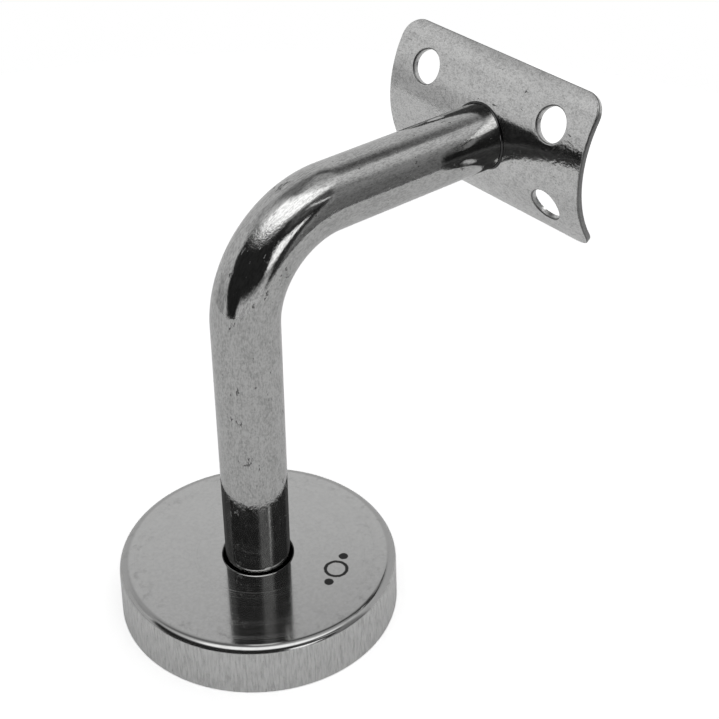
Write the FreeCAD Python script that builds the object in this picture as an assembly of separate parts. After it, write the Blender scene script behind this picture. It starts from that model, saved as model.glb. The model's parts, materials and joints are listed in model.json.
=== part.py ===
"""Handrail bracket: a bent round bar between a screwed wall flange and a rolled saddle for the rail.

The wall is the plane Z = 0 and the bracket stands out of it along +Z. The origin is the middle of the
flange's back face, on the axis of the bar's first leg. The bar bends towards +X, and the rail runs along Y.
All sizes are in millimetres.
"""
import FreeCAD, Part
import math
import os

V = FreeCAD.Vector

# The rail, and where the bracket holds it
rail_d = 48.3                 # outside diameter of the rail tube
rail_height = 91.5            # wall to the rail's axis
rail_offset = 86.7            # axis of the bar's first leg to the rail's axis

# Support arm
arm_d = 14.0                  # round bar
bend_r = 21.0                 # radius of the bar's centre line in the bend

# Saddle plate
saddle_t = 1.25               # sheet
saddle_length = 57.0          # along the rail
saddle_width = 37.0           # round the rail, on the outer face
saddle_corner_r = 4.7
saddle_edge_r = 0.3           # rounding of the outer face's edge, left by polishing
saddle_back_edge_r = 0.15     # rounding of the edge that lies on the rail
rail_hole_d = 7.4
rail_hole_pitch_along = 37.1  # hole to hole along the rail
rail_hole_pitch_round = 18.6  # hole to hole round the rail, on the outer face
rail_hole_lip_r = 0.4         # rounding of each hole's outer edge

# Base cover
cover_mouth_d = 60.4          # outside, at the wall
cover_height = 11.8
cover_draft = 1.5             # degrees that the skirt closes in towards the top
cover_t = 0.9                 # sheet
cover_edge_r = 1.8            # outside radius between top and skirt
cover_mouth_edge_r = 0.25     # rounding of the trimmed mouth
arm_clearance = 0.5           # all round, between the bar and the cover's hole
cover_lip_r = 0.5             # rounding of the hole's top edge

# Wall flange
flange_t = 3.0
flange_cover_gap = 0.4        # all round, between the flange's top edge and the cover
flange_edge_r = 0.6
wall_screw_count = 3
wall_screw_pcd = 38.0
wall_screw_hole_d = 5.5
weld_leg = 3.0                # fillet weld at the arm's foot
weld_bulge = 0.35             # how far the bead stands proud of a straight fillet

# Weld between arm and saddle
saddle_weld_r = 0.5           # the bead is dressed to this small concave radius and polished
saddle_weld_depth = 1.2       # how deep it is fused into the bar's end

# Sizes that follow
arm_r = arm_d / 2
rail_r = rail_d / 2
saddle_r = rail_r + saddle_t              # outer face of the saddle
draft_slope = math.tan(math.radians(cover_draft))
cover_mouth_r = cover_mouth_d / 2

Y_AXIS = V(0, 1, 0)
Z_AXIS = V(0, 0, 1)
RAIL_AXIS_POINT = V(rail_offset, 0, rail_height)


def edges_where(shape, test):
    """The edges of a shape whose sampled points all pass the test."""
    return [edge for edge in shape.Edges if all(test(point) for point in edge.discretize(7))]


def near(value, target, tolerance=1e-3):
    return abs(value - target) < tolerance


def radius_about_z(point):
    return math.hypot(point.x, point.y)


def radius_about_rail(point):
    return math.hypot(point.x - rail_offset, point.z - rail_height)


def turned_profile(points):
    """A solid of revolution about Z from (radius, height) corners."""
    outline = Part.makePolygon([V(r, 0, z) for r, z in points + points[:1]])
    return Part.Face(outline).revolve(V(0, 0, 0), Z_AXIS, 360)


def cover_outer_radius(height):
    return cover_mouth_r - height * draft_slope


def cover_inner_radius(height):
    """The skirt's inner radius, one sheet thickness in from its sloping outer face."""
    return cover_outer_radius(height) - cover_t / math.cos(math.radians(cover_draft))


def second_leg_cylinder(radius):
    """A round bar along the axis of the arm's second leg, from the bend to the rail's axis."""
    return Part.makeCylinder(radius, rail_offset - bend_r, V(bend_r, 0, rail_height), V(1, 0, 0))


def barrel(radius):
    """A cylinder round the rail's axis, as long as the saddle."""
    return Part.makeCylinder(radius, saddle_length, RAIL_AXIS_POINT - Y_AXIS * saddle_length / 2, Y_AXIS)


def saddle_weld_root():
    """Ring of weld metal that replaces the outer corner of the bar's coped end."""
    outer = second_leg_cylinder(arm_r).common(barrel(saddle_r + saddle_weld_depth))
    return outer.cut(second_leg_cylinder(arm_r - saddle_weld_depth)).cut(barrel(saddle_r))


def make_support_arm():
    """Round bar: a leg out of the wall, one bend, and a leg that ends coped against the saddle."""
    bend_start = rail_height - bend_r
    bend_mid = V(bend_r * (1 - math.cos(math.pi / 4)), 0, bend_start + bend_r * math.sin(math.pi / 4))
    first_leg = Part.LineSegment(V(0, 0, flange_t), V(0, 0, bend_start))
    bend = Part.Arc(V(0, 0, bend_start), bend_mid, V(bend_r, 0, rail_height))
    second_leg = Part.LineSegment(V(bend_r, 0, rail_height), RAIL_AXIS_POINT)
    path = Part.Wire([first_leg.toShape(), bend.toShape(), second_leg.toShape()])
    section = Part.Wire([Part.makeCircle(arm_r, V(0, 0, flange_t), Z_AXIS)])
    bar = path.makePipeShell([section], True, False)
    return bar.cut(barrel(saddle_r)).cut(saddle_weld_root())


def saddle_direction(angle):
    """Unit vector out of the saddle's outer face, at an angle round the rail from the arm's axis."""
    return V(-math.cos(angle), 0, math.sin(angle))


def saddle_hole_places():
    """Place along the rail and angle round it of each screw hole."""
    half_along = rail_hole_pitch_along / 2
    half_angle = rail_hole_pitch_round / 2 / saddle_r
    return [(side * half_along, up * half_angle) for side in (-1, 1) for up in (-1, 1)]


def distance_to_hole_axis(point):
    """Distance from a point to the axis of the nearest screw hole of the saddle."""
    return min((point - RAIL_AXIS_POINT - Y_AXIS * along).cross(saddle_direction(angle)).Length
               for along, angle in saddle_hole_places())


def depth_inside_outline(point):
    """How far a point of the saddle lies inside its outline, measured on the outer face."""
    along = saddle_length / 2 - abs(point.y)
    angle = math.atan2(point.z - rail_height, rail_offset - point.x)
    round_rail = saddle_width / 2 - abs(angle) * saddle_r
    to_corner = V(saddle_corner_r - along, saddle_corner_r - round_rail, 0)
    if to_corner.x > 0 and to_corner.y > 0:
        return saddle_corner_r - to_corner.Length
    return min(along, round_rail)


def saddle_rim(plate, radius):
    """The edges round the outline of the plate's face at this distance from the rail's axis."""
    return edges_where(plate, lambda p: near(radius_about_rail(p), radius)
                       and depth_inside_outline(p) < saddle_t)


def make_saddle_plate():
    """Sheet rolled to the rail's radius, with radial cut edges, rounded corners and four round holes."""
    half_length = saddle_length / 2
    half_angle = saddle_width / 2 / saddle_r
    start = RAIL_AXIS_POINT - Y_AXIS * half_length
    inner = [start + saddle_direction(angle) * rail_r for angle in (-half_angle, 0, half_angle)]
    outer = [start + saddle_direction(angle) * saddle_r for angle in (-half_angle, 0, half_angle)]
    section = Part.Wire([
        Part.Arc(inner[0], inner[1], inner[2]).toShape(),
        Part.LineSegment(inner[2], outer[2]).toShape(),
        Part.Arc(outer[2], outer[1], outer[0]).toShape(),
        Part.LineSegment(outer[0], inner[0]).toShape(),
    ])
    plate = Part.Face(section).extrude(Y_AXIS * saddle_length)
    plate = plate.makeFillet(saddle_corner_r, edges_where(
        plate, lambda p: near(abs(p.y), half_length)
        and near(abs(math.atan2(p.z - rail_height, rail_offset - p.x)), half_angle)))
    hole_r = rail_hole_d / 2
    for along, angle in saddle_hole_places():
        outwards = saddle_direction(angle)
        foot = RAIL_AXIS_POINT + Y_AXIS * along + outwards * (rail_r - hole_r)
        plate = plate.cut(Part.makeCylinder(hole_r, saddle_t + 2 * hole_r, foot, outwards))
    plate = plate.makeFillet(rail_hole_lip_r, edges_where(
        plate, lambda p: near(radius_about_rail(p), saddle_r) and near(distance_to_hole_axis(p), hole_r)))
    plate = plate.makeFillet(saddle_edge_r, saddle_rim(plate, saddle_r))
    return plate.makeFillet(saddle_back_edge_r, saddle_rim(plate, rail_r))


def make_base_cover():
    """Pressed shell: flat top, rounded edge, drafted skirt, and a hole with a rounded lip."""
    top_inside = cover_height - cover_t
    outside = turned_profile([(0, 0), (cover_mouth_r, 0), (cover_outer_radius(cover_height), cover_height),
                              (0, cover_height)])
    outside = outside.makeFillet(cover_edge_r, edges_where(
        outside, lambda p: near(p.z, cover_height) and near(radius_about_z(p), cover_outer_radius(p.z))))
    inside = turned_profile([(0, 0), (cover_inner_radius(0), 0), (cover_inner_radius(top_inside), top_inside),
                             (0, top_inside)])
    inside = inside.makeFillet(cover_edge_r - cover_t, edges_where(
        inside, lambda p: near(p.z, top_inside) and near(radius_about_z(p), cover_inner_radius(p.z))))
    hole_r = arm_r + arm_clearance
    shell = outside.cut(inside).cut(Part.makeCylinder(hole_r, 2 * cover_height))
    shell = shell.makeFillet(cover_lip_r, edges_where(
        shell, lambda p: near(p.z, cover_height) and near(radius_about_z(p), hole_r)))
    mouth = edges_where(shell, lambda p: near(p.z, 0) and near(radius_about_z(p), cover_mouth_r))
    return shell.makeFillet(cover_mouth_edge_r, mouth)


def make_wall_flange():
    """Disc that carries the arm, with plain holes for the wall screws, hidden by the cover."""
    flange_r = cover_inner_radius(flange_t) - flange_cover_gap
    disc = Part.makeCylinder(flange_r, flange_t)
    disc = disc.makeFillet(flange_edge_r, edges_where(
        disc, lambda p: near(p.z, flange_t) and near(radius_about_z(p), flange_r)))
    for number in range(wall_screw_count):
        angle = math.pi + number * 2 * math.pi / wall_screw_count
        centre = V(math.cos(angle), math.sin(angle), 0) * (wall_screw_pcd / 2)
        disc = disc.cut(Part.makeCylinder(wall_screw_hole_d / 2, flange_t, centre))
    return disc


def make_flange_weld():
    """Fillet weld round the arm's foot: two legs of equal length and a slightly full face."""
    top = V(arm_r, 0, flange_t + weld_leg)
    toe = V(arm_r + weld_leg, 0, flange_t)
    root = V(arm_r, 0, flange_t)
    crown = (top + toe) * 0.5 + V(1, 0, 1).normalize() * weld_bulge
    bead = Part.Wire([Part.LineSegment(root, toe).toShape(), Part.Arc(toe, crown, top).toShape(),
                      Part.LineSegment(top, root).toShape()])
    return Part.Face(bead).revolve(V(0, 0, 0), Z_AXIS, 360)


def distance_to_second_leg(point):
    """Distance from a point to the axis of the arm's second leg."""
    return math.hypot(point.y, point.z - rail_height)


def make_saddle_weld():
    """Bead round the coped end of the bar, with its root, dressed to a concave fillet."""
    joined = second_leg_cylinder(arm_r).fuse(barrel(saddle_r))
    welded = joined.makeFillet(saddle_weld_r, edges_where(
        joined, lambda p: near(radius_about_rail(p), saddle_r) and near(distance_to_second_leg(p), arm_r)))
    return welded.cut(joined).fuse(saddle_weld_root()).removeSplitter()


os.makedirs("parts", exist_ok=True)
PIECES = {
    "support_arm": make_support_arm,
    "saddle_plate": make_saddle_plate,
    "base_cover": make_base_cover,
    "wall_flange": make_wall_flange,
    "flange_weld": make_flange_weld,
    "saddle_weld": make_saddle_weld,
}
for name, make in PIECES.items():
    piece = make()
    print(f"{name}: {len(piece.Solids)} solid, {piece.Volume / 1000:.2f} cm3, valid {piece.isValid()}")
    piece.exportStep(f"parts/{name}.step")
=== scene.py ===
"""Handrail bracket: a polished round bar with one bend. A screwed flange under a loose round cover holds
it to the wall, and a rolled and drilled saddle at its other end takes the rail.

The wall is the plane Z = 0. The bar stands out of it along +Z and bends towards +X, and the rail runs
along Y. All sizes are in metres. The pieces follow in the order in which the bracket is put together.
"""
import json
import math

import bmesh
import bpy
import numpy as np
from mathutils import Matrix, Vector


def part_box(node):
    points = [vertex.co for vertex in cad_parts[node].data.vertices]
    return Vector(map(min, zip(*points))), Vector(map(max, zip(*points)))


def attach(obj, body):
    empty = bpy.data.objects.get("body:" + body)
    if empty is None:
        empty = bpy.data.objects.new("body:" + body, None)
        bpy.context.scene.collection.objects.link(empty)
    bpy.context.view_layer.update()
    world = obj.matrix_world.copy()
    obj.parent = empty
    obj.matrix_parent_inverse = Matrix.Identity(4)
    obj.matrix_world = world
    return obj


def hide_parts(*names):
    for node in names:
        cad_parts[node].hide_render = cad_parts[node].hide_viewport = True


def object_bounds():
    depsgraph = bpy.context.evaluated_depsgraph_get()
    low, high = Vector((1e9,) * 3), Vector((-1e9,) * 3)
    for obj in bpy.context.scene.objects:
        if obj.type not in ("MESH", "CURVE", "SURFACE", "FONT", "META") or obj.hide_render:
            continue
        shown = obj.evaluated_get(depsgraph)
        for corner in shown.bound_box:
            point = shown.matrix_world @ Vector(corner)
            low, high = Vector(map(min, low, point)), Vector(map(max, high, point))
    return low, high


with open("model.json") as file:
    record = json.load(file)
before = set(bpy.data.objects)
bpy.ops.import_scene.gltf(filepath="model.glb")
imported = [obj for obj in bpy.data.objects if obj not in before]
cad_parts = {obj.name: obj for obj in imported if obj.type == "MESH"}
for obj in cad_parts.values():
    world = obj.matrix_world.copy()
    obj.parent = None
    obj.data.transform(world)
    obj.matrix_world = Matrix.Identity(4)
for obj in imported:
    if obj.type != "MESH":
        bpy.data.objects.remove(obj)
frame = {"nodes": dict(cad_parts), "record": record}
cad_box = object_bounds()


# ---- Wall flange ----------------------------------------------------------------------------------------
# A 3 mm disc, cut from plain cold-rolled stainless plate with three holes for the wall screws. It is left
# with its mill finish, because the cover hides it: a dull grey face with the fine grain of the rolls.

MILL_GREY = (0.47, 0.465, 0.455, 1)
ROLL_LINE_SPACING = 0.00025
ROLL_LINE_LENGTH = 0.009
PICKLED_PATCH_SCALE = 160.0


def node(tree, kind, inputs=None, **settings):
    """Adds a shader node. Each named or numbered input is set to a value, or linked where it is an output."""
    made = tree.nodes.new(kind)
    for name, value in settings.items():
        setattr(made, name, value)
    for name, value in (inputs or {}).items():
        if isinstance(value, bpy.types.NodeSocket):
            tree.links.new(value, made.inputs[name])
        else:
            made.inputs[name].default_value = value
    return made


def maths(tree, operation, *values):
    """The output of a Math node on up to three values or outputs."""
    return node(tree, "ShaderNodeMath", dict(enumerate(values)), operation=operation).outputs[0]


def vector_maths(tree, operation, *values):
    """The output of a Vector Math node: a number for a length, a distance or a dot product."""
    made = node(tree, "ShaderNodeVectorMath", dict(enumerate(values)), operation=operation)
    return made.outputs["Value" if operation in ("LENGTH", "DISTANCE", "DOT_PRODUCT") else "Vector"]


def ramp(tree, value, low, high, at_low=0.0, at_high=1.0):
    """A value that goes smoothly from at_low, where the input is low, to at_high, where it is high."""
    inputs = {"Value": value, "From Min": low, "From Max": high, "To Min": at_low, "To Max": at_high}
    return node(tree, "ShaderNodeMapRange", inputs, interpolation_type="SMOOTHSTEP").outputs["Result"]


def noise(tree, vector, scale, detail=2.0, roughness=0.5, distortion=0.0):
    """The value of a Noise texture, with about this many blotches to the unit of its vector."""
    inputs = {"Vector": vector, "Scale": scale, "Detail": detail, "Roughness": roughness,
              "Distortion": distortion}
    return node(tree, "ShaderNodeTexNoise", inputs).outputs["Fac"]


def tinted(tree, share, dark, light):
    """A colour between two, by a share from 0 to 1."""
    inputs = {"Factor": share, "A": dark, "B": light}
    return node(tree, "ShaderNodeMix", inputs, data_type="RGBA").outputs["Result"]


def shade(colour, share):
    """The colour, made darker or lighter by this share."""
    return tuple(share * level for level in colour[:3]) + (1,)


def bump(tree, height, depth, under=None, strength=1.0):
    """The normal of a skin with this relief, on top of the relief that gave the normal under it."""
    inputs = {"Height": height, "Distance": depth, "Strength": strength}
    if under is not None:
        inputs["Normal"] = under
    return node(tree, "ShaderNodeBump", inputs).outputs[0]


def new_group(name, inputs, output):
    """An empty shader node group. An input called Vector is a vector, and the other inputs and the output
    are numbers. Gives the group, its inputs by name and its output node."""
    group = bpy.data.node_groups.new(name, "ShaderNodeTree")
    for label in inputs:
        kind = "NodeSocketVector" if label == "Vector" else "NodeSocketFloat"
        group.interface.new_socket(label, in_out="INPUT", socket_type=kind)
    group.interface.new_socket(output, in_out="OUTPUT", socket_type="NodeSocketFloat")
    return group, group.nodes.new("NodeGroupInput").outputs, group.nodes.new("NodeGroupOutput")


def add_group(tree, group, **inputs):
    """Places a node group in a material, with this piece's own values; gives its output."""
    return node(tree, "ShaderNodeGroup", inputs, node_tree=group).outputs[0]


def make_grain_group():
    """Fine lines left by rolls, belts or a buffing wheel: noise drawn out along the Z of its vector."""
    group, given, result = new_group("Grain", ["Vector", "Spacing", "Length"], "Lines")
    across = maths(group, "DIVIDE", 1.0, given["Spacing"])
    along = maths(group, "DIVIDE", 1.0, given["Length"])
    scale = node(group, "ShaderNodeCombineXYZ", {"X": across, "Y": across, "Z": along}).outputs[0]
    stretched = vector_maths(group, "MULTIPLY", given["Vector"], scale)
    group.links.new(noise(group, stretched, 1.0, detail=3.0, roughness=0.6), result.inputs["Lines"])
    return group


GRAIN = make_grain_group()


def new_metal(name):
    """A bare metal material; gives it with its node tree and its Principled BSDF."""
    material = bpy.data.materials.new(name)
    material.use_nodes = True
    tree = material.node_tree
    shader = tree.nodes["Principled BSDF"]
    shader.inputs["Metallic"].default_value = 1.0
    return material, tree, shader


def object_place(tree):
    """The point's place on the bracket, in metres."""
    return node(tree, "ShaderNodeTexCoord").outputs["Object"]


def turned(tree, vector, x=0.0, z=0.0):
    """The vector turned round X and Z by these angles in degrees."""
    angles = (math.radians(x), 0.0, math.radians(z))
    return node(tree, "ShaderNodeMapping", {"Vector": vector, "Rotation": angles}).outputs[0]


def make_mill_plate():
    """Dull rolled plate: long fine roll lines, and soft patches where the pickling bit unevenly."""
    material, tree, shader = new_metal("mill_plate")
    place = object_place(tree)
    lines = add_group(tree, GRAIN, Vector=turned(tree, place, x=90), Spacing=ROLL_LINE_SPACING,
                      Length=ROLL_LINE_LENGTH)
    patches = noise(tree, place, PICKLED_PATCH_SCALE, detail=3.0)
    colour = tinted(tree, patches, shade(MILL_GREY, 0.82), shade(MILL_GREY, 1.12))
    tree.links.new(colour, shader.inputs["Base Color"])
    tree.links.new(ramp(tree, lines, 0.3, 0.7, 0.26, 0.42), shader.inputs["Roughness"])
    tree.links.new(bump(tree, lines, 0.00002, strength=0.5), shader.inputs["Normal"])
    return material


frame["nodes"]["wall_flange"].data.materials.clear()
frame["nodes"]["wall_flange"].data.materials.append(make_mill_plate())


# ---- Flange weld ----------------------------------------------------------------------------------------
# A fillet weld round the bar's foot, laid by hand in one pass. It is left as welded under the cover: a
# row of overlapping crescents, dull, with a straw and brown heat tint where the metal was hottest.

weld_low, weld_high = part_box("flange_weld")
WELD_SIZE = weld_high.z - weld_low.z
WELD_BULGE = 0.00035
WELD_RIPPLES = 46
WELD_RIPPLE_HEIGHT = 0.00009
WELD_RIPPLE_STEPS = 24
WELD_RIPPLE_LAG = 1.6
WELD_UNEVEN = 0.35
HEAT_CLOUD_SCALE = 420.0


def grid_faces(rows, columns, first):
    """Quads between the points of a grid, numbered row by row from first."""
    index = first + np.arange(rows * columns).reshape(rows, columns)
    return np.stack([index[:-1, :-1], index[:-1, 1:], index[1:, 1:], index[1:, :-1]], axis=-1).reshape(-1, 4)


def piece_from_grids(name, grids, body, nodes, sharp_angle=35):
    """One mesh from several grids of points, each rows x columns x 3. Edges where grids meet are welded, so
    that seams and poles are closed, faces are turned outwards, and edges over sharp_angle degrees stay
    sharp."""
    faces, first = [], 0
    for grid in grids:
        faces.append(grid_faces(grid.shape[0], grid.shape[1], first))
        first += grid.shape[0] * grid.shape[1]
    mesh = bpy.data.meshes.new(name)
    mesh.from_pydata(np.concatenate([grid.reshape(-1, 3) for grid in grids]), [], np.concatenate(faces))
    welded = bmesh.new()
    welded.from_mesh(mesh)
    bmesh.ops.remove_doubles(welded, verts=welded.verts, dist=1e-7)
    bmesh.ops.dissolve_degenerate(welded, edges=welded.edges, dist=1e-7)
    bmesh.ops.recalc_face_normals(welded, faces=welded.faces)
    welded.to_mesh(mesh)
    welded.free()
    mesh.shade_smooth()
    mesh.set_sharp_from_angle(angle=math.radians(sharp_angle))
    piece = bpy.data.objects.new(name, mesh)
    bpy.context.scene.collection.objects.link(piece)
    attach(piece, body)
    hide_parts(*nodes)
    return piece


def turned_surface(radius, height, sides):
    """A profile carried round Z: each (radius, height) makes a ring. Gives rows x sides + 1 x 3 points."""
    turn = np.linspace(0, 2 * np.pi, sides + 1)
    return np.stack([radius * np.cos(turn), radius * np.sin(turn), height + 0 * turn], axis=-1)


def make_flange_weld():
    """The bead's face is a shallow arc from toe to top, turned round the bar. Ripples lift it: crescents that
    lag behind towards both edges, as the pool does behind the torch, with a sharp crest at each step."""
    toe_to_top = np.linspace(0, 1, 17)[:, None]
    steps = WELD_RIPPLE_STEPS * WELD_RIPPLES
    turn = np.linspace(0, 2 * np.pi, steps + 1)[None, :]
    lag = WELD_RIPPLE_LAG * (2 * toe_to_top - 1) ** 2
    pace = turn * WELD_RIPPLES + 2 * np.pi * WELD_UNEVEN * np.sin(3 * turn)
    step = (pace / (2 * np.pi) - 0.5 * lag) % 1
    ripple = WELD_RIPPLE_HEIGHT * np.sqrt(step) * np.sin(np.pi * toe_to_top)
    proud = WELD_BULGE * np.sin(np.pi * toe_to_top) - WELD_RIPPLE_HEIGHT + ripple
    proud = np.maximum(proud, 0) / math.sqrt(2)
    radius = weld_high.x - WELD_SIZE * toe_to_top + proud
    height = weld_low.z + WELD_SIZE * toe_to_top + proud
    face = turned_surface(radius, height, steps)
    root_r = weld_high.x - WELD_SIZE
    root_radius = np.array([root_r, root_r, weld_high.x])[:, None]
    root_height = np.array([weld_high.z, weld_low.z, weld_low.z])[:, None]
    back = turned_surface(root_radius, root_height, steps)
    return piece_from_grids("weld_bead", [face, back], "bracket", ["flange_weld"],
                            sharp_angle=60)


def split(tree, vector):
    """The vector's X, Y and Z, by name."""
    return node(tree, "ShaderNodeSeparateXYZ", {0: vector}).outputs


def make_weld_metal():
    """As-welded bead: satin silver crests, with straw and brown heat tint in soft bands round the bar."""
    material, tree, shader = new_metal("as_welded")
    place = object_place(tree)
    clouds = noise(tree, place, HEAT_CLOUD_SCALE)
    silver = (0.44, 0.43, 0.41, 1)
    straw = (0.40, 0.31, 0.19, 1)
    brown = (0.20, 0.13, 0.09, 1)
    height = split(tree, place)["Z"]
    lowest = ramp(tree, height, weld_low.z, weld_low.z + 0.5 * WELD_SIZE, 1.0, 0.0)
    hot = tinted(tree, ramp(tree, clouds, 0.35, 0.7), straw, brown)
    colour = tinted(tree, maths(tree, "MULTIPLY", lowest, 0.8), silver, hot)
    tree.links.new(colour, shader.inputs["Base Color"])
    tree.links.new(ramp(tree, clouds, 0.3, 0.7, 0.28, 0.5), shader.inputs["Roughness"])
    return material


make_flange_weld().data.materials.append(make_weld_metal())


# ---- Support arm ----------------------------------------------------------------------------------------
# 14 mm round stainless bar, bent cold to a right angle and coped at its end to the saddle's curve. It is
# belt-ground and buffed almost to a mirror, with an orange-peel skin, fine lines along it and small nicks,
# and the bender has rubbed a rough patch on the side of the bend.

arm_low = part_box("support_arm")[0]
saddle_low, saddle_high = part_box("saddle_plate")
mounts = {mount["name"]: mount for mount in frame["record"]["mounts"]}
ARM_R = -arm_low.x
BEND_R = 0.021
RAIL_R = mounts["rail_seat"]["dims"]["r_mm"] / 1000
RAIL_X = mounts["rail_seat"]["pos_m"][0] + RAIL_R
RAIL_Z = mounts["rail_seat"]["pos_m"][2]
SADDLE_R = RAIL_X - saddle_low.x
FOOT_Z = arm_low.z
BAR_SIDES = 128
LEG_RINGS = 30
BEND_RINGS = 73
BEND_START = RAIL_Z - BEND_R
BEND_END = BEND_START + BEND_R * math.pi / 2
STEEL = (0.52, 0.52, 0.515, 1)
# Dark of the real nicks, and also of the painted shade on the saddle's cut rounds and ends.
NICK_AND_SHADE_DARK = (0.12, 0.12, 0.12, 1)
FLECK_SPACING = 0.00028
STREAK_SPACING = 0.0016
SCUFF_SIZE = 0.0022
SCUFF_DEPTH = 0.00003
SOIL_SCALE = 2200.0
RUB_SCALE = 2200.0
RUB_PLACE = Vector((-0.0064, -0.0028, 0.0885))
RUB_CORE_R = 0.001
RUB_REACH = 0.0055
RUB_DEPTH = 0.00006


def bar_surface(turn, along, radius):
    """A circle round the bar's axis. The axis climbs along Z to the bend, follows a quarter circle of radius
    BEND_R towards X, and goes on along X. The circle starts on the inner side of the bend."""
    bend = np.clip((along - BEND_START) / BEND_R, 0, np.pi / 2)
    axis_x = BEND_R * (1 - np.cos(bend)) + np.maximum(along - BEND_END, 0)
    axis_z = np.minimum(along, BEND_START) + BEND_R * np.sin(bend)
    inwards = radius * np.cos(turn)
    return np.stack([axis_x + inwards * np.cos(bend), radius * np.sin(turn) + 0 * along,
                     axis_z - inwards * np.sin(bend)], axis=-1)


def cope(turn, radius):
    """How far along the bar its skin meets the saddle: the saddle's circle, at the skin's height."""
    return BEND_END + RAIL_X - BEND_R - np.sqrt(SADDLE_R ** 2 - (radius * np.cos(turn)) ** 2)


def straight_bar(points):
    """Where each point lay before the bar was bent: X and Y across the bar, and Z along it."""
    x, y, z = points.T
    angle = np.clip(np.arctan2(z - BEND_START, BEND_R - x), 0, np.pi / 2)
    bent = np.stack([BEND_R - np.hypot(BEND_R - x, z - BEND_START), y, BEND_START + BEND_R * angle], axis=-1)
    level = np.stack([RAIL_Z - z, y, BEND_END + x - BEND_R], axis=-1)
    in_second_leg = (x > BEND_R)[:, None]
    in_first_leg = (z < BEND_START)[:, None]
    return np.where(in_second_leg, level, np.where(in_first_leg, points, bent))


def make_support_arm():
    """The bar's skin in three stretches, closed by a flat foot and by a coped end. Each stretch is a grid of
    turn x length, and each end is the last ring drawn in to the axis."""
    turn = np.linspace(0, 2 * np.pi, BAR_SIDES + 1)[None, :]
    first_leg = np.linspace(FOOT_Z, BEND_START, LEG_RINGS)[:, None]
    bend = np.linspace(BEND_START, BEND_END, BEND_RINGS)[:, None]
    share = np.linspace(0, 1, LEG_RINGS)[:, None]
    second_leg = BEND_END + share * (cope(turn, ARM_R) - BEND_END)
    shrink = ARM_R * np.linspace(1, 0, 9)[:, None]
    grids = [bar_surface(turn, first_leg, ARM_R), bar_surface(turn, bend, ARM_R),
             bar_surface(turn, second_leg, ARM_R), bar_surface(turn, FOOT_Z + 0 * shrink, shrink),
             bar_surface(turn, cope(turn, shrink), shrink)]
    arm = piece_from_grids("bar", grids, "bracket", ["support_arm"])
    points = np.empty(3 * len(arm.data.vertices), np.float32)
    arm.data.vertices.foreach_get("co", points)
    unbent = arm.data.attributes.new("unbent", "FLOAT_VECTOR", "POINT")
    unbent.data.foreach_set("vector", straight_bar(points.reshape(-1, 3)).astype(np.float32).ravel())
    return arm


def make_peel_group():
    """Orange peel: soft dimples of two sizes, deeper where Patches gathers them, as buffed steel has."""
    group, given, result = new_group("Orange peel", ["Vector", "Size", "Patches"], "Height")
    scale = maths(group, "DIVIDE", 1.0, given["Size"])
    coarse = noise(group, given["Vector"], scale, detail=1.0)
    fine = noise(group, given["Vector"], maths(group, "MULTIPLY", scale, 2.7), detail=1.0)
    broad = noise(group, given["Vector"], maths(group, "MULTIPLY", scale, 0.08))
    gathered = maths(group, "MULTIPLY", ramp(group, broad, 0.35, 0.65), given["Patches"])
    depth = maths(group, "ADD", gathered, maths(group, "SUBTRACT", 1.0, given["Patches"]))
    dimples = maths(group, "ADD", coarse, maths(group, "MULTIPLY", fine, 0.3))
    height = maths(group, "MULTIPLY", maths(group, "SUBTRACT", dimples, 0.65), depth)
    group.links.new(height, result.inputs["Height"])
    return group


def make_scuff_group():
    """Short dark nicks along the Z of the vector: the peaks of a noise, more of them where a broad noise
    gathers them."""
    group, given, result = new_group("Scuffs", ["Vector", "Size", "Share"], "Mask")
    scale = maths(group, "DIVIDE", 1.0, given["Size"])
    stretched = vector_maths(group, "MULTIPLY", given["Vector"], (1, 1, 0.45))
    nicks = noise(group, stretched, maths(group, "MULTIPLY", scale, 3.4), roughness=0.7, distortion=0.4)
    broad = noise(group, given["Vector"], maths(group, "MULTIPLY", scale, 0.5), detail=3.0, roughness=0.65)
    gathered = maths(group, "MULTIPLY", ramp(group, broad, 0.54, 0.74), given["Share"])
    peaks = ramp(group, maths(group, "MULTIPLY_ADD", gathered, 0.22, nicks), 0.70, 0.77)
    group.links.new(peaks, result.inputs["Mask"])
    return group


PEEL = make_peel_group()
SCUFFS = make_scuff_group()


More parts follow.
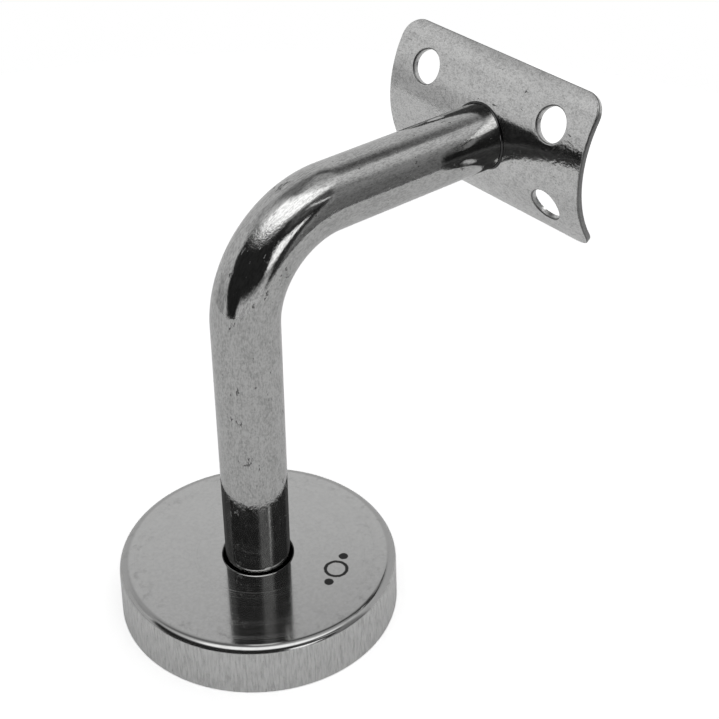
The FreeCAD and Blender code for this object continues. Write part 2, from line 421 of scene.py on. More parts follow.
def make_polished_steel(name, place_of, grain_length, roughness, peel_size, peel_depth, fleck_depth,
                        scuff_share, steel=STEEL, peel_shade_tone=0.15, relief_of=None):
    """Buffed stainless steel. Its grey varies with flecks of grain and soil, its gloss with streaks and
    nicks, and peel, flecks and nicks shape its skin. Where the piece has a cut_edge attribute, 0.5 is a dull
    cut wall, and from there to 1 it is painted darker: painted shade for the dark room that the rounds and
    ends mirror. The peel's dimples are painted lighter and darker by their depth, as painted shade.
    relief_of gives the piece's own relief, as a height in metres."""
    material, tree, shader = new_metal(name)
    place = place_of(tree)
    cut = node(tree, "ShaderNodeAttribute", attribute_name="cut_edge").outputs["Fac"]
    face = ramp(tree, cut, 0.0, 0.4, 1.0, 0.0)
    flecks = add_group(tree, GRAIN, Vector=place, Spacing=FLECK_SPACING, Length=grain_length)
    streaks = add_group(tree, GRAIN, Vector=place, Spacing=STREAK_SPACING, Length=6 * grain_length)
    peel = add_group(tree, PEEL, Vector=place, Size=peel_size, Patches=0.6)
    scuffs = add_group(tree, SCUFFS, Vector=place, Size=SCUFF_SIZE, Share=scuff_share)
    mottle = noise(tree, place, SOIL_SCALE, detail=3.0, roughness=0.6)

    tone = maths(tree, "MULTIPLY_ADD", mottle, 0.35, maths(tree, "MULTIPLY", flecks, 0.65))
    tone = maths(tree, "MULTIPLY_ADD", maths(tree, "SUBTRACT", streaks, 0.5), 0.3, tone)
    # Painted shade: the peel's dimples are made lighter and darker in colour by their depth.
    tone = maths(tree, "MULTIPLY_ADD", peel, peel_shade_tone, tone)
    colour = tinted(tree, ramp(tree, tone, 0.30, 0.62), shade(steel, 0.70), shade(steel, 1.17))
    colour = tinted(tree, maths(tree, "MULTIPLY", scuffs, 0.8), colour, NICK_AND_SHADE_DARK)
    # Painted shade: the cut rounds and ends get a darker grey that stands for the dark room they mirror.
    colour = tinted(tree, ramp(tree, cut, 0.5, 1.0, 0.0, 0.85), colour, NICK_AND_SHADE_DARK)
    tree.links.new(colour, shader.inputs["Base Color"])

    gloss = maths(tree, "MULTIPLY_ADD", ramp(tree, streaks, 0.35, 0.7), 0.06, roughness)
    gloss = maths(tree, "MULTIPLY_ADD", scuffs, 0.3, gloss)
    gloss = maths(tree, "MULTIPLY_ADD", face, -0.28, maths(tree, "ADD", gloss, 0.28))
    tree.links.new(gloss, shader.inputs["Roughness"])

    skin = bump(tree, relief_of(tree), 1.0) if relief_of else None
    skin = bump(tree, maths(tree, "MULTIPLY", peel, face), peel_depth, skin)
    skin = bump(tree, flecks, fleck_depth, skin)
    skin = bump(tree, maths(tree, "SUBTRACT", 1.0, scuffs), SCUFF_DEPTH, skin, strength=0.6)
    tree.links.new(skin, shader.inputs["Normal"])
    return material


def unbent_place(tree):
    """The point's place on the bar before it was bent."""
    return node(tree, "ShaderNodeAttribute", attribute_name="unbent").outputs["Vector"]


def bender_rub(tree):
    """Relief of the patch on the bend's side that the bender rubbed: fine noise that fades out round it."""
    place = unbent_place(tree)
    rough = noise(tree, place, RUB_SCALE, detail=4.0, roughness=0.65)
    away = vector_maths(tree, "DISTANCE", place, RUB_PLACE)
    return maths(tree, "MULTIPLY", rough, ramp(tree, away, RUB_CORE_R, RUB_REACH, RUB_DEPTH, 0.0))


make_support_arm().data.materials.append(
    make_polished_steel("polished_bar", unbent_place, grain_length=0.0009, roughness=0.05,
                        peel_size=0.0011, peel_depth=0.000014, fleck_depth=0.000008, scuff_share=1.0,
                        relief_of=bender_rub))


# ---- Saddle plate ---------------------------------------------------------------------------------------
# 1.25 mm stainless sheet, blanked with rounded corners and four screw holes and then rolled to the rail's
# radius. The outer face and the edges are buffed, so hole lips and outline are softly rounded. The rounds
# and the two ends are painted darker, as painted shade for the dark room they mirror, and the weld's heat
# has drawn the sheet a little.

hole = mounts["rail_screw_hole_4"]
SADDLE_T = SADDLE_R - RAIL_R
HALF_LENGTH = saddle_high.y
HALF_WIDTH = SADDLE_R * math.asin((saddle_high.z - RAIL_Z) / SADDLE_R)
CORNER_R = 0.0047
EDGE_R = 0.0003
DULL_CUT = 0.5
# Shares of painted shade on the ends and on the rounds, for the dark room they mirror.
END_PAINTED_SHADE = 0.85
ROUND_PAINTED_SHADE = 1.0
BACK_EDGE_R = 0.00015
HOLE_R = hole["dims"]["r_mm"] / 1000
HOLE_LIP_R = 0.0004
HOLE_ALONG = hole["pos_m"][1]
HOLE_ANGLE = math.atan2(hole["axis"][2], -hole["axis"][0])
EDGE_POINTS = 7
CORNER_POINTS = 20
END_POINTS = 26
SIDE_POINTS = 46
LENGTHWAYS_POINTS = 50
ROUND_POINTS = 32
RAY_POINTS = 28
RAY_CROWDING = 0.8
HEAT_LEAN = 0.07
HEAT_CORE = 0.006
HEAT_REACH = 0.026


def saddle_sheet(along, round_rail, depth):
    """Points of the rolled sheet: so far along the rail, so far round it on the outer face, so deep below."""
    angle = round_rail / SADDLE_R
    radius = SADDLE_R - depth
    return np.stack([RAIL_X - radius * np.cos(angle), along + 0 * radius, RAIL_Z + radius * np.sin(angle)],
                    axis=-1)


def saddle_hole(turn, distance, face_r, drop):
    """Points round a hole: at a distance from its axis, and a drop below the rolled face of radius face_r."""
    side = distance * np.sin(turn)
    reach = np.sqrt(face_r ** 2 - side ** 2) - drop
    return np.stack([RAIL_X - reach * math.cos(HOLE_ANGLE) + side * math.sin(HOLE_ANGLE),
                     HOLE_ALONG + distance * np.cos(turn),
                     RAIL_Z + reach * math.sin(HOLE_ANGLE) + side * math.cos(HOLE_ANGLE)], axis=-1)


def rounded_corner(inset):
    """The free part of a quarter of the outline, drawn in by inset: end, rounded corner and long side.
    Straight parts are shares of the corner's ends, down to 0 on the middle lines."""
    corner = np.linspace(0, np.pi / 2, CORNER_POINTS)[None, :]
    radius = CORNER_R - inset
    arc_along = HALF_LENGTH - CORNER_R + radius * np.cos(corner)
    arc_round = HALF_WIDTH - CORNER_R + radius * np.sin(corner)
    end_round = np.linspace(0, 1, END_POINTS)[None, :-1] * arc_round[:, :1]
    side_along = np.linspace(1, 0, SIDE_POINTS)[None, 1:] * arc_along[:, -1:]
    along = np.concatenate([arc_along[:, :1] + 0 * end_round, arc_along, side_along], axis=1)
    round_rail = np.concatenate([end_round, arc_round, arc_round[:, -1:] + 0 * side_along], axis=1)
    return along, round_rail


def quarter_of_saddle():
    """The quarter with along and round_rail over 0. Each face is a grid of straight rays from the hole to
    the quarter's outline. The hole's wall and the free edge are profiles carried along those same points:
    quarter circles of HOLE_LIP_R, EDGE_R and BACK_EDGE_R, with straight walls between them."""
    corner = np.linspace(0, np.pi / 2, EDGE_POINTS)[:, None]
    lip_distance = HOLE_R + HOLE_LIP_R * (1 - np.sin(corner))
    lip_drop = HOLE_LIP_R * (1 - np.cos(corner))
    edge_inset = np.concatenate([EDGE_R * (1 - np.sin(corner)), BACK_EDGE_R * (1 - np.cos(corner))])
    edge_depth = np.concatenate([EDGE_R * (1 - np.cos(corner)),
                                 SADDLE_T - BACK_EDGE_R * (1 - np.sin(corner))])
    rays = np.linspace(0, 1, RAY_POINTS)[:, None] ** RAY_CROWDING

    def face(hole_distance, face_r, inset, depth):
        """Each point is its hole ring's point plus a share of the way to the outline's, by rays."""
        along, round_rail = rounded_corner(np.array([[inset]]))
        first, last = along[0, 0], round_rail[0, -1]
        start = np.linspace(0, 1, LENGTHWAYS_POINTS)[None, :-1] * first
        back = np.linspace(1, 0, ROUND_POINTS)[None, 1:] * last
        along = np.concatenate([start, along, 0 * back], axis=1)
        round_rail = np.concatenate([0 * start, round_rail, back], axis=1)
        turn = np.arctan2(round_rail - HOLE_ANGLE * SADDLE_R, along - HOLE_ALONG)
        ring_along = HOLE_ALONG + hole_distance * np.cos(turn)
        ring_round = (HOLE_ANGLE + np.arcsin(hole_distance * np.sin(turn) / face_r)) * SADDLE_R
        return turn, saddle_sheet(ring_along + rays * (along - ring_along),
                                  ring_round + rays * (round_rail - ring_round), depth)

    outer_turn, outer = face(HOLE_R + HOLE_LIP_R, SADDLE_R, EDGE_R, 0)
    inner_turn, inner = face(HOLE_R, RAIL_R, BACK_EDGE_R, SADDLE_T)
    lip = saddle_hole(outer_turn, lip_distance, SADDLE_R, lip_drop)
    wall = np.stack([lip[-1], saddle_hole(inner_turn, HOLE_R, RAIL_R, 0)[0]])
    rim = saddle_sheet(*rounded_corner(edge_inset), edge_depth)
    return [outer, inner, lip, wall, rim]


def make_saddle_plate():
    """Four mirrored quarters, welded into one sheet with four holes. The cut_edge attribute says by depth
    below the outer face which points lie on its rounds and which on the cut walls."""
    grids = []
    for side in (1, -1):
        for up in (1, -1):
            mirror = np.array([1, side, up])
            offset = np.array([0, 0, RAIL_Z * (1 - up)])
            grids += [grid * mirror + offset for grid in quarter_of_saddle()]
    plate = piece_from_grids("saddle", grids, "bracket", ["saddle_plate"], sharp_angle=50)
    points = np.empty(3 * len(plate.data.vertices), np.float32)
    plate.data.vertices.foreach_get("co", points)
    x, y, z = points.reshape(-1, 3).T
    depth = SADDLE_R - np.hypot(x - RAIL_X, z - RAIL_Z)
    below_the_face = (depth > 0.05 * EDGE_R) & (depth < SADDLE_T - 0.05 * EDGE_R)
    # Painted shade: the ends and the rounds are marked darker, for the dark room they mirror.
    wall = np.where(np.abs(y) > HALF_LENGTH - EDGE_R, END_PAINTED_SHADE, DULL_CUT)
    cut = np.where(depth < 0.8 * EDGE_R, ROUND_PAINTED_SHADE, wall) * below_the_face
    cut_edge = plate.data.attributes.new("cut_edge", "FLOAT", "POINT")
    cut_edge.data.foreach_set("value", cut.astype(np.float32))
    plate.modifiers.new("even faces", "WEIGHTED_NORMAL").keep_sharp = True
    return plate


def along_the_rail(tree):
    """The point's place with Z along the rail, so that grain runs that way."""
    return turned(tree, object_place(tree), x=90)


def heat_lean(tree):
    """Relief of the sheet that the weld's heat drew: its height falls by HEAT_LEAN for each metre upwards
    near the weld, and by less towards the ends."""
    place = split(tree, object_place(tree))
    along = maths(tree, "ABSOLUTE", place["Y"])
    lean = ramp(tree, along, HEAT_CORE, HEAT_REACH, HEAT_LEAN, 0.3 * HEAT_LEAN)
    return maths(tree, "MULTIPLY", maths(tree, "SUBTRACT", RAIL_Z, place["Z"]), lean)


make_saddle_plate().data.materials.append(
    make_polished_steel("polished_sheet", along_the_rail, grain_length=0.0004, roughness=0.10,
                        peel_size=0.0009, peel_depth=0.00004, fleck_depth=0.000008, scuff_share=0.6,
                        steel=(0.67, 0.67, 0.665, 1), peel_shade_tone=0.3, relief_of=heat_lean))


# ---- Saddle weld ----------------------------------------------------------------------------------------
# The bead that joins bar and saddle. It is ground back to a small hollow fillet, painted near black: painted
# shade in the hollow, which shows as a fine dark line all round the joint.

FILLET_R = 0.0005
FILLET_SIDES = 192


def make_saddle_weld():
    """A ball of radius FILLET_R rolls round the joint and touches bar and saddle. Its centre is that far
    outside both, and the bead's face is the arc of the ball between its two touching points."""
    turn = np.linspace(0, 2 * np.pi, FILLET_SIDES + 1)[None, :]
    share = np.linspace(0, 1, 11)[:, None]
    side = (ARM_R + FILLET_R) * np.sin(turn)
    up = (ARM_R + FILLET_R) * np.cos(turn)
    reach = np.sqrt((SADDLE_R + FILLET_R) ** 2 - up ** 2)
    centre = np.stack([RAIL_X - reach, side, RAIL_Z + up], axis=-1)
    to_bar = np.stack([0 * turn, -np.sin(turn), -np.cos(turn)], axis=-1)
    to_saddle = np.stack([reach, 0 * turn, -up], axis=-1) / (SADDLE_R + FILLET_R)
    opening = np.arccos(np.sum(to_bar * to_saddle, axis=-1))
    weight_bar = (np.sin((1 - share) * opening) / np.sin(opening))[..., None]
    weight_saddle = (np.sin(share * opening) / np.sin(opening))[..., None]
    face = centre + FILLET_R * (weight_bar * to_bar + weight_saddle * to_saddle)
    corner_up = ARM_R * np.cos(turn)
    corner_x = RAIL_X - np.sqrt(SADDLE_R ** 2 - corner_up ** 2)
    corner = np.stack([corner_x, ARM_R * np.sin(turn), RAIL_Z + corner_up], axis=-1)
    back = np.concatenate([face[:1], corner, face[-1:]])
    return piece_from_grids("joint_bead", [face, back], "bracket", ["saddle_weld"])


# The bead's near-black grey is painted shade in the joint's hollow.
make_saddle_weld().data.materials.append(
    make_polished_steel("dressed_weld", object_place, grain_length=0.0006, roughness=0.12,
                        peel_size=0.0006, peel_depth=0.00001, fleck_depth=0.00001, scuff_share=0.5,
                        steel=(0.07, 0.07, 0.07, 1)))


# ---- Base cover -----------------------------------------------------------------------------------------
# Pressed from 0.9 mm stainless sheet and loose on the bar, so that it slides up to bare the wall screws.
# Its top was buffed while it spun, its skirt keeps the upright marks of the press, and its mark is etched
# dark.

cover_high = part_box("base_cover")[1]
MOUTH_R = cover_high.x
TOP_Z = cover_high.z
DRAFT = math.radians(1.5)
COVER_T = 0.0009
COVER_EDGE_R = 0.0018
MOUTH_EDGE_R = 0.00025
CLEARANCE = 0.0005
LIP_R = 0.0005
COVER_SIDES = 256
BURR_SIDE = Vector((-0.64, -0.77, 0.0))
BURR_WIDTH = 0.0004
BURR_HEIGHT = 0.00012
COVER_STEEL = (0.65, 0.65, 0.645, 1)
ETCHED_DARK = (0.055, 0.055, 0.055, 1)
SPIN_SPACING = 0.00025
SPIN_LENGTH = 0.05
DRAW_SPACING = 0.0004
DRAW_LENGTH = 0.003
MOTTLE_SCALE = 1300.0
SMUDGE_SCALE = 420.0
# Radii over which the smudge marks gather towards the edge, where they are also painted shade.
SMUDGE_SHADE_FROM_R = MOUTH_R - 0.009
SMUDGE_SHADE_FULL_R = MOUTH_R - 0.0025
MARK_PLACE = Vector((0.00944, -0.01529, 0.0))
MARK_TURN = 30
MARK_PITCH = 0.0043
MARK_RING_R = 0.0023
MARK_DOT_R = 0.0010
MARK_LINE = 0.0007
MARK_SOFT = 0.0001
MARK_WOBBLE = 0.0003
MARK_WOBBLE_SCALE = 2500.0


def arc(centre_r, centre_z, radius, start, end, steps):
    """Points (radius from the axis, height) on an arc, between two angles in degrees from straight out."""
    angle = np.radians(np.linspace(start, end, steps))
    return np.stack([centre_r + radius * np.cos(angle), centre_z + radius * np.sin(angle)], axis=-1)


def line(start, end, steps):
    """Points on a straight line, closer together near its ends, where it runs into arcs."""
    share = (1 - np.cos(np.linspace(0, np.pi, steps)))[:, None] / 2
    return np.asarray(start) + share * (np.asarray(end) - np.asarray(start))


def skirt_fillet(height, radius, offset):
    """Centre of a round that touches a level face at this height and the sloping skirt from inside. The
    skirt lies offset inside the outer one."""
    side = 1 if height > 0 else -1
    centre_z = height - side * radius
    return MOUTH_R - (centre_z * math.sin(DRAFT) + radius + offset) / math.cos(DRAFT), centre_z


def make_base_cover():
    """One closed profile turned round Z: hole wall, lip, top, outer round, skirt and trimmed mouth, then
    back up inside the skirt and under the top."""
    slope = math.degrees(DRAFT)
    hole_r = ARM_R + CLEARANCE
    under_z = TOP_Z - COVER_T
    edge_r, edge_z = skirt_fillet(TOP_Z, COVER_EDGE_R, 0)
    mouth_r = MOUTH_R - (MOUTH_EDGE_R * math.sin(DRAFT) + MOUTH_EDGE_R) / math.cos(DRAFT)
    inner_round = COVER_EDGE_R - COVER_T
    inner_r, inner_z = skirt_fillet(under_z, inner_round, COVER_T)
    inner_mouth_r = MOUTH_R - COVER_T / math.cos(DRAFT)
    lip = arc(hole_r + LIP_R, TOP_Z - LIP_R, LIP_R, 180, 90, 7)
    edge = arc(edge_r, edge_z, COVER_EDGE_R, 90, slope, 14)
    mouth = arc(mouth_r, MOUTH_EDGE_R, MOUTH_EDGE_R, slope, -90, 7)
    inner_edge = arc(inner_r, inner_z, inner_round, slope, 90, 9)
    profile = np.concatenate([
        line((hole_r, under_z), lip[0], 4), lip,
        line(lip[-1], edge[0], 30), edge,
        line(edge[-1], mouth[0], 16), mouth,
        line(mouth[-1], (inner_mouth_r, 0), 4),
        line((inner_mouth_r, 0), inner_edge[0], 12), inner_edge,
        line(inner_edge[-1], (hole_r, under_z), 20)])
    surface = turned_surface(profile[:, :1], profile[:, 1:], COVER_SIDES)
    cover = piece_from_grids("cover", [surface], "cover", ["base_cover"], sharp_angle=50)
    cover.modifiers.new("even faces", "WEIGHTED_NORMAL").keep_sharp = True
    return cover


def between(tree, share, first, second):
    """A number between two, by a share from 0 to 1."""
    return node(tree, "ShaderNodeMix", {"Factor": share, "A": first, "B": second}).outputs["Result"]


def mark_mask(tree, place):
    """1 on the etched mark: a ring between two dots, in a row across the cover's top."""
    turn = (0, 0, math.radians(MARK_TURN))
    across = node(tree, "ShaderNodeMapping", {"Vector": place, "Location": MARK_PLACE, "Rotation": turn},
                  vector_type="TEXTURE").outputs[0]
    flat = vector_maths(tree, "MULTIPLY", across, (1, 1, 0))
    wobble = noise(tree, place, MARK_WOBBLE_SCALE)
    wobble = maths(tree, "MULTIPLY_ADD", wobble, MARK_WOBBLE, -MARK_WOBBLE / 2)
    off_ring = maths(tree, "SUBTRACT", vector_maths(tree, "DISTANCE", flat, (0, 0, 0)), MARK_RING_R)
    nearest = maths(tree, "SUBTRACT", maths(tree, "ABSOLUTE", off_ring), MARK_LINE / 2)
    for side in (-1, 1):
        away = vector_maths(tree, "DISTANCE", flat, (side * MARK_PITCH, 0, 0))
        nearest = maths(tree, "MINIMUM", nearest, maths(tree, "SUBTRACT", away, MARK_DOT_R))
    etched = ramp(tree, maths(tree, "ADD", nearest, wobble), -MARK_SOFT, MARK_SOFT, 1.0, 0.0)
    height = split(tree, place)["Z"]
    return maths(tree, "MULTIPLY", etched, ramp(tree, height, TOP_Z - 2 * MARK_SOFT, TOP_Z - MARK_SOFT))


def lip_burr(tree, radius, outwards):
    """Relief of the burr that the punch left round one side of the hole's lip, 1 at its inside."""
    burr_r = ARM_R + CLEARANCE + 0.6 * LIP_R
    burr = ramp(tree, radius, burr_r, burr_r + BURR_WIDTH, 1.0, 0.0)
    towards = vector_maths(tree, "DOT_PRODUCT", outwards, BURR_SIDE)
    return maths(tree, "MULTIPLY", burr, ramp(tree, towards, 0.80, 0.93))


def make_cover_sheet():
    """Satin-bright sheet: rings of fine spin lines and smudge marks on the top, painted shade round its edge,
    where the smudge marks also gather as painted shade, upright draw lines on the skirt, and a faint peel."""
    material, tree, shader = new_metal("cover_sheet")
    place = object_place(tree)
    height = split(tree, place)["Z"]
    level = vector_maths(tree, "MULTIPLY", place, (1, 1, 0))
    radius = vector_maths(tree, "LENGTH", level)
    outwards = vector_maths(tree, "NORMALIZE", level)
    out = split(tree, outwards)
    on_skirt = ramp(tree, height, TOP_Z - 0.8 * COVER_EDGE_R, TOP_Z - 0.3 * COVER_EDGE_R, 1.0, 0.0)
    mark = mark_mask(tree, place)

    round_the_top = {"X": radius, "Z": maths(tree, "MULTIPLY", out["X"], 0.02)}
    round_the_skirt = {"X": maths(tree, "MULTIPLY", out["X"], MOUTH_R),
                       "Y": maths(tree, "MULTIPLY", out["Y"], MOUTH_R), "Z": height}
    spun = node(tree, "ShaderNodeCombineXYZ", round_the_top).outputs[0]
    drawn = node(tree, "ShaderNodeCombineXYZ", round_the_skirt).outputs[0]
    spin = add_group(tree, GRAIN, Vector=spun, Spacing=SPIN_SPACING, Length=SPIN_LENGTH)
    draw = add_group(tree, GRAIN, Vector=drawn, Spacing=DRAW_SPACING, Length=DRAW_LENGTH)
    peel = add_group(tree, PEEL, Vector=place, Size=0.0009, Patches=0.5)
    lines = between(tree, on_skirt, spin, draw)

    mottle = ramp(tree, noise(tree, place, MOTTLE_SCALE, detail=4.0), 0.3, 0.7)
    top = tinted(tree, mottle, shade(COVER_STEEL, 0.95), shade(COVER_STEEL, 1.02))
    # Painted shade: the top is darker where it turns into the outer round, for the dark room it mirrors.
    painted_rim_shade = ramp(tree, radius, MOUTH_R - 1.4 * COVER_EDGE_R, MOUTH_R - 1.0 * COVER_EDGE_R)
    top = tinted(tree, painted_rim_shade, top, shade(COVER_STEEL, 0.74))
    # Dark smudge marks, partly smudges and partly painted shade, since they gather towards the edge.
    smudges_and_shade = ramp(tree, noise(tree, place, SMUDGE_SCALE, detail=5.0, roughness=0.7), 0.50, 0.72, 0.0, 0.5)
    near_edge = ramp(tree, radius, SMUDGE_SHADE_FROM_R, SMUDGE_SHADE_FULL_R, 0.25, 1.0)
    top = tinted(tree, maths(tree, "MULTIPLY", smudges_and_shade, near_edge), top, shade(COVER_STEEL, 0.55))
    skirt = tinted(tree, ramp(tree, draw, 0.36, 0.68), shade(COVER_STEEL, 1.12), shade(COVER_STEEL, 0.86))
    sheet = tinted(tree, on_skirt, top, skirt)
    tree.links.new(tinted(tree, mark, sheet, ETCHED_DARK), shader.inputs["Base Color"])

    gloss = maths(tree, "MULTIPLY_ADD", ramp(tree, lines, 0.55, 0.68), 0.14, 0.095)
    gloss = maths(tree, "MULTIPLY_ADD", on_skirt, 0.12, gloss)
    tree.links.new(maths(tree, "MULTIPLY_ADD", mark, 0.35, gloss), shader.inputs["Roughness"])
    skin = bump(tree, peel, 0.000002)
    skin = bump(tree, lines, 0.000001, skin)
    skin = bump(tree, lip_burr(tree, radius, outwards), BURR_HEIGHT, skin)
    tree.links.new(skin, shader.inputs["Normal"])
    return material


make_base_cover().data.materials.append(make_cover_sheet())


# ---- Studio ---------------------------------------------------------------------------------------------
# A white paper floor in a small light room: pale walls behind and beside the bracket, a wide soft light
# high in front of it, a narrow one low on the right, and a dark room behind the camera.

CAMERA_PLACE = Vector((-0.141776, -0.207109, 0.233543))
LOOK_YAW = math.radians(50.523)
LOOK_DOWN = math.radians(34.446)
CAMERA_ROLL = math.radians(-0.319)
LENS_MM = 76.50
FLOOR_REACH = 0.30
FLOOR_SIDES = 96
FLOOR_GREY = (0.96, 0.96, 0.96, 1)
FLOOR_LIFT = 0.50
TWICE_REFLECTED = 0.17


def make_camera():
    """The camera stands in front, to the left and above, and looks down on the bracket."""
    forward = Vector((math.cos(LOOK_DOWN) * math.cos(LOOK_YAW), math.cos(LOOK_DOWN) * math.sin(LOOK_YAW),
                      -math.sin(LOOK_DOWN)))
    right = Vector((math.sin(LOOK_YAW), -math.cos(LOOK_YAW), 0))
    up = right.cross(forward)
    rolled_right = right * math.cos(CAMERA_ROLL) + up * math.sin(CAMERA_ROLL)
    rolled_up = up * math.cos(CAMERA_ROLL) - right * math.sin(CAMERA_ROLL)
    data = bpy.data.cameras.new("camera")
    data.lens = LENS_MM
    data.clip_start = 0.01
    camera = bpy.data.objects.new("camera", data)
    bpy.context.scene.collection.objects.link(camera)
    axes = Matrix((rolled_right, rolled_up, -forward)).transposed().to_4x4()
    camera.matrix_world = Matrix.Translation(CAMERA_PLACE) @ axes
    bpy.context.scene.camera = camera


def seen_by_camera(tree):
    """1 for what the camera sees directly, 0 for all other light."""
    return node(tree, "ShaderNodeLightPath").outputs["Is Camera Ray"]


def reflected_twice(tree):
    """1 for light that comes by two or more reflections in metal, 0 for all other light."""
    return maths(tree, "GREATER_THAN", node(tree, "ShaderNodeLightPath").outputs["Glossy Depth"], 1.5)


def make_floor():
    """Matt white paper. What the camera sees of it is lifted to white, and it keeps the bracket's shadow."""
    turn = np.linspace(0, 2 * np.pi, FLOOR_SIDES + 1)[:-1]
    level = cad_box[0][2] + 0 * turn
    rim = np.stack([FLOOR_REACH * np.cos(turn), FLOOR_REACH * np.sin(turn), level], axis=-1)
    mesh = bpy.data.meshes.new("floor")
    mesh.from_pydata(rim, [], [tuple(range(FLOOR_SIDES))])
    floor = bpy.data.objects.new("floor", mesh)
    bpy.context.scene.collection.objects.link(floor)
    material = bpy.data.materials.new("white_paper")
    material.use_nodes = True
    tree = material.node_tree
    tree.nodes.clear()
    paper = tinted(tree, reflected_twice(tree), FLOOR_GREY, shade(FLOOR_GREY, TWICE_REFLECTED))
    matt = node(tree, "ShaderNodeBsdfDiffuse", {"Color": paper})
    lifted = maths(tree, "MULTIPLY", seen_by_camera(tree), FLOOR_LIFT)
    lift = node(tree, "ShaderNodeEmission", {"Strength": lifted})
    both = node(tree, "ShaderNodeAddShader", {0: matt.outputs[0], 1: lift.outputs[0]})
    node(tree, "ShaderNodeOutputMaterial", {"Surface": both.outputs[0]})
    mesh.materials.append(material)


def make_card_group():
    """A soft-edged card in the room: 1 between two sides and two elevations, in degrees. Each side may lean:
    it moves by its lean times the elevation."""
    inputs = ["Azimuth", "Elevation", "Left", "Left lean", "Right", "Right lean", "Side soft", "Bottom",
              "Bottom soft", "Top", "Top soft"]
    group, given, result = new_group("Card", inputs, "Mask")

    def edge(value, place, soft, before, after):
        """Goes from before to after, where the value passes this place."""
        low = maths(group, "SUBTRACT", place, soft)
        high = maths(group, "ADD", place, soft)
        return ramp(group, value, low, high, before, after)

    def side(name):
        """The side's azimuth at this elevation."""
        return maths(group, "MULTIPLY_ADD", given["Elevation"], given[name + " lean"], given[name])

    mask = maths(group, "MULTIPLY", edge(given["Azimuth"], side("Left"), given["Side soft"], 0.0, 1.0),
                 edge(given["Azimuth"], side("Right"), given["Side soft"], 1.0, 0.0))
    above = edge(given["Elevation"], given["Bottom"], given["Bottom soft"], 0.0, 1.0)
    below = edge(given["Elevation"], given["Top"], given["Top soft"], 1.0, 0.0)
    mask = maths(group, "MULTIPLY", maths(group, "MULTIPLY", mask, above), below)
    group.links.new(mask, result.inputs["Mask"])
    return group


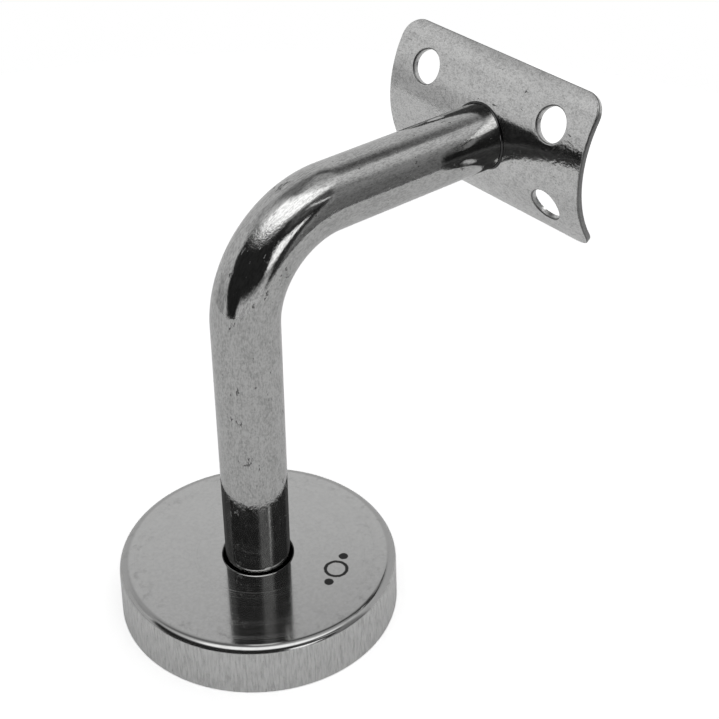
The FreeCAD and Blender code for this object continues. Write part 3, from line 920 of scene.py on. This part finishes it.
def make_light_room():
    """The world's light by direction. Azimuth is in degrees from the camera's side, counterclockwise seen
    from above, so that the room's right side is over 0. behind is the same from the far side, so that a card
    can hang across its middle."""
    world = bpy.data.worlds.new("light_room")
    world.use_nodes = True
    bpy.context.scene.world = world
    tree = world.node_tree
    tree.nodes.clear()
    direction = node(tree, "ShaderNodeTexCoord").outputs["Generated"]
    card = make_card_group()

    def azimuth_from(start):
        """The direction's azimuth in degrees, counted from the start."""
        level = split(tree, turned(tree, direction, z=-start))
        return maths(tree, "DEGREES", maths(tree, "ARCTAN2", level["Y"], level["X"]))

    azimuth = azimuth_from(math.degrees(LOOK_YAW) + 180)
    behind = azimuth_from(math.degrees(LOOK_YAW))
    elevation = maths(tree, "DEGREES", maths(tree, "ARCSINE", split(tree, direction)["Z"]))

    def hang(level, light, side, left, right, bottom, top, soft, lean=(0, 0), soft_ends=None):
        """Hangs a card of this light in front of what is there so far. left and right are its sides by
        azimuth or by behind, the lower one first, and bottom and top are elevations. Its edges fade over soft
        degrees to each side, and soft_ends is that for the bottom and the top where they differ. lean is how
        far its two sides move with each degree of elevation."""
        bottom_soft, top_soft = soft_ends or (soft, soft)
        inputs = {"Azimuth": side, "Elevation": elevation, "Left": left, "Left lean": lean[0],
                  "Right": right, "Right lean": lean[1], "Side soft": soft, "Bottom": bottom,
                  "Bottom soft": bottom_soft, "Top": top, "Top soft": top_soft}
        return between(tree, add_group(tree, card, **inputs), level, light)

    # The walls are pale, a little darker higher up, with panels of other greys.
    level = ramp(tree, elevation, 39, 45, 0.62, 0.52)
    level = maths(tree, "SUBTRACT", level, ramp(tree, elevation, 54, 62, 0.0, 0.10))
    level = hang(level, 0.36, behind, -40, 4, 45, 60, 5)
    level = hang(level, 0.68, azimuth, 92, 124, 40, 60, 5)
    level = hang(level, 0.42, azimuth, -108, -70, -24, 3, 4, soft_ends=(8, 8))
    level = hang(level, 0.72, azimuth, -100, -90, 28, 42, 3)
    level = hang(level, 0.46, azimuth, -130, -101, 35, 52, 3)
    level = hang(level, 0.22, behind, -6, 60, 54, 84, 12, soft_ends=(5, 6))
    level = hang(level, 0.13, behind, -62, 2, 50, 58, 7, soft_ends=(3, 3))
    # Metal that is seen in metal shows these walls dimmer.
    twice = reflected_twice(tree)
    level = maths(tree, "MULTIPLY", level, maths(tree, "MULTIPLY_ADD", twice, TWICE_REFLECTED - 1, 1.0))
    # The wide soft light high in front, brightest in its middle.
    level = hang(level, 0.9, azimuth, -100, 112, 53, 86, 32, soft_ends=(4, 8))
    level = hang(level, 1.7, azimuth, 6, 130, 52, 84, 12, lean=(-1.2, -0.85), soft_ends=(4, 8))
    # The grey right side of the room, darker low down, with a pale foot.
    level = hang(level, 0.52, azimuth, 56, 104, -30, -20, 3)
    level = hang(level, 0.28, azimuth, 56, 88, -30, 42, 7, lean=(0.4, 0))
    level = hang(level, 0.19, azimuth, 56, 86, -24, 16, 6, lean=(0.4, 0), soft_ends=(8, 10))
    # The dark room behind the camera, with dim panels at its edges.
    level = hang(level, 0.024, azimuth, -68, 53, -3, 46, 4, lean=(-0.65, 0.5), soft_ends=(5, 5))
    level = hang(level, 0.02, azimuth, -67, -24, -20, 8, 3, lean=(-0.65, 0.55), soft_ends=(6, 3))
    level = hang(level, 0.04, azimuth, 36, 52, -15, 8, 3)
    level = hang(level, 0.12, azimuth, 30, 60, 28, 48, 6, lean=(0, 0.3))
    # Two narrow lights on the right: a slanting one, and one low down.
    level = hang(level, 1.0, azimuth, 104, 110, 29, 41, 2, lean=(-1.4, -1.4))
    level = hang(level, 1.6, azimuth, 24, 36, 1, 19, 3, lean=(0, 0.8), soft_ends=(5, 3))
    # Metal that is seen in metal shows two more dark panels on the right, and a paler one on the left.
    level_twice = hang(level, 0.035, azimuth, 60, 134, 24, 48, 6)
    level_twice = hang(level_twice, 0.18, azimuth, 14, 46, 24, 48, 7)
    level_twice = hang(level_twice, 0.55, azimuth, -115, -68, 2, 28, 5, soft_ends=(5, 4))
    level = between(tree, twice, level, level_twice)

    # The camera itself sees plain white.
    room = node(tree, "ShaderNodeBackground", {"Color": (1, 1, 1, 1), "Strength": level})
    white = node(tree, "ShaderNodeBackground", {"Color": (1, 1, 1, 1), "Strength": 1.0})
    inputs = {0: seen_by_camera(tree), 1: room.outputs[0], 2: white.outputs[0]}
    both = node(tree, "ShaderNodeMixShader", inputs)
    node(tree, "ShaderNodeOutputWorld", {"Surface": both.outputs[0]})


make_camera()
make_floor()
make_light_room()
bpy.context.scene.view_settings.view_transform = "Standard"
